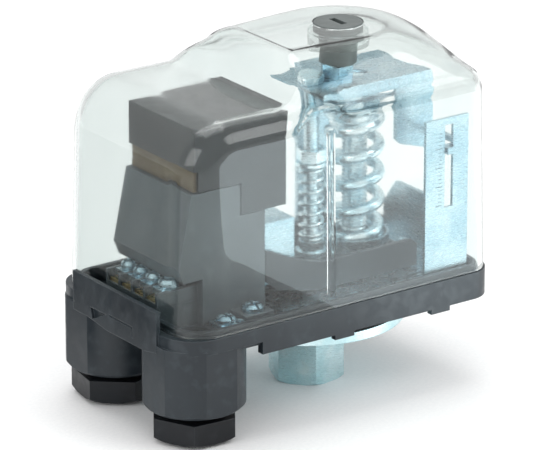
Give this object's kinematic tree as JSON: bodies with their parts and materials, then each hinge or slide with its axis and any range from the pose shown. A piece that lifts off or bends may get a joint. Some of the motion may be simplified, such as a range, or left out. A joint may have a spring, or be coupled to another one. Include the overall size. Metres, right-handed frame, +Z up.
{
  "type": "pressure switch",
  "caption": "Pressure switch for a pump: clear lift-off cover over a spring and lever mechanism, moulded base with two cable glands, hex pressure port below.",
  "frame": {"origin": "centre of the pressure port's mouth, at the lower face of its hexagon", "axes": "+Z up along the port's axis, +X from the gland end to the scale end, front face towards -Y"},
  "size_m": [0.1154, 0.0708, 0.1106],
  "materials": {
    "housing_plastic": "moulded, fine spark-eroded texture",
    "clear_cover": "clear moulded polycarbonate, gloss",
    "screw_plastic": "moulded, satin",
    "zinc_plate": "blue-passivated zinc plating",
    "spring_steel": "zinc plated spring wire",
    "port_metal": "turned and zinc plated, satin",
    "diaphragm_rubber": "fabric-reinforced nitrile",
    "seal_rubber": "soft nitrile",
    "washer_steel": "plain steel, bright",
    "lever_black": "black phosphated steel, satin",
    "contact_black": "moulded phenolic, satin gloss",
    "tan_insulator": "laminated phenolic sheet",
    "pusher_plastic": "natural nylon",
    "contact_brass": "stamped brass, satin",
    "nut_plastic": "moulded polyamide, satin"
  },
  "bodies": {
    "base": {"base_housing": "housing_plastic", "cover_insert": "zinc_plate", "pressure_port": "port_metal", "pressure_flange": "port_metal", "diaphragm": "diaphragm_rubber", "flange_screws": "zinc_plate", "chassis_plate": "zinc_plate", "bridge_bracket": "zinc_plate", "bridge_screws": "zinc_plate", "pivot_pins": "zinc_plate", "main_stud": "zinc_plate", "main_spring": "spring_steel", "differential_stud": "zinc_plate", "differential_spring": "spring_steel", "scale_plate": "zinc_plate", "scale_screws": "zinc_plate", "contact_cover": "contact_black", "insulating_plate": "tan_insulator", "terminal_block": "contact_black", "block_screws": "zinc_plate", "fixed_contacts": "contact_brass", "contact_spring": "spring_steel", "terminal_plates": "contact_brass", "terminal_screws": "zinc_plate", "wire_clamps": "zinc_plate", "earth_strap": "zinc_plate", "earth_screws": "zinc_plate", "gland_seal_front": "seal_rubber", "gland_seal_back": "seal_rubber"},
    "cover": {"cover": "clear_cover"},
    "cover_screw": {"cover_screw": "screw_plastic"},
    "lever": {"rocker_lever": "lever_black", "trip_bracket": "zinc_plate", "spring_cup": "zinc_plate", "spring_bushing": "zinc_plate"},
    "piston": {"piston": "port_metal"},
    "pusher": {"contact_pusher": "pusher_plastic", "moving_contacts": "contact_brass"},
    "range_seat": {"indicator_plate": "zinc_plate"},
    "range_nut": {"main_nut": "zinc_plate"},
    "differential_seat": {"differential_washer": "zinc_plate"},
    "differential_nut": {"differential_nut": "zinc_plate"},
    "gland_washer_front": {"gland_washer_front": "washer_steel"},
    "gland_nut_front": {"gland_nut_front": "nut_plastic"},
    "gland_washer_back": {"gland_washer_back": "washer_steel"},
    "gland_nut_back": {"gland_nut_back": "nut_plastic"}
  },
  "joints": [
    {"name": "cover_lift", "type": "slide", "parent": "base", "child": "cover", "axis": [0, 0, 1], "range_m": [0, 0.085]},
    {"name": "cover_screw_turn", "type": "hinge", "parent": "cover", "child": "cover_screw", "pos_m": [0.0114, 0, 0.105], "axis": [0, 0, 1], "continuous": true},
    {"name": "lever_tilt", "type": "hinge", "parent": "base", "child": "lever", "pos_m": [0.026, 0, 0.0399], "axis": [0, 1, 0], "range_deg": [0, 2.2], "deforming": ["main_spring", "differential_spring", "contact_spring"]},
    {"name": "piston_lift", "type": "slide", "parent": "base", "child": "piston", "axis": [0, 0, 1], "range_m": [0, 0.00102], "deforming": ["diaphragm"]},
    {"name": "pusher_lift", "type": "slide", "parent": "base", "child": "pusher", "axis": [0, 0, 1], "range_m": [0, 0.00195], "deforming": ["contact_spring"]},
    {"name": "range_seat_travel", "type": "slide", "parent": "base", "child": "range_seat", "axis": [0, 0, 1], "range_m": [-0.0126, 0], "deforming": ["main_spring"]},
    {"name": "range_nut_turn", "type": "hinge", "parent": "range_seat", "child": "range_nut", "pos_m": [0.0174, 0, 0.087], "axis": [0, 0, 1], "range_deg": [-3600, 0]},
    {"name": "differential_seat_travel", "type": "slide", "parent": "base", "child": "differential_seat", "axis": [0, 0, 1], "range_m": [-0.0041, 0], "deforming": ["differential_spring"]},
    {"name": "differential_nut_turn", "type": "hinge", "parent": "differential_seat", "child": "differential_nut", "pos_m": [0.0013, 0, 0.0707], "axis": [0, 0, 1], "range_deg": [-1800, 0]},
    {"name": "gland_travel_front", "type": "slide", "parent": "base", "child": "gland_washer_front", "axis": [0, 0, 1], "range_m": [-0.0076, 0.0021]},
    {"name": "gland_nut_turn_front", "type": "hinge", "parent": "gland_washer_front", "child": "gland_nut_front", "pos_m": [-0.0557, -0.0206, 0.0045], "axis": [0, 0, 1], "range_deg": [-1800, 480]},
    {"name": "gland_travel_back", "type": "slide", "parent": "base", "child": "gland_washer_back", "axis": [0, 0, 1], "range_m": [-0.0076, 0.0021]},
    {"name": "gland_nut_turn_back", "type": "hinge", "parent": "gland_washer_back", "child": "gland_nut_back", "pos_m": [-0.0557, 0.0206, 0.0045], "axis": [0, 0, 1], "range_deg": [-1800, 480]}
  ],
  "couplings": [
    {"joint": "piston_lift", "follows": "lever_tilt", "m_per_rad": 0.026},
    {"joint": "pusher_lift", "follows": "lever_tilt", "m_per_rad": 0.05},
    {"joint": "range_seat_travel", "follows": "range_nut_turn", "m_per_rad": 0.00019894},
    {"joint": "differential_seat_travel", "follows": "differential_nut_turn", "m_per_rad": 0.00012732},
    {"joint": "gland_travel_front", "follows": "gland_nut_turn_front", "m_per_rad": 0.00023873},
    {"joint": "gland_travel_back", "follows": "gland_nut_turn_back", "m_per_rad": 0.00023873}
  ]
}
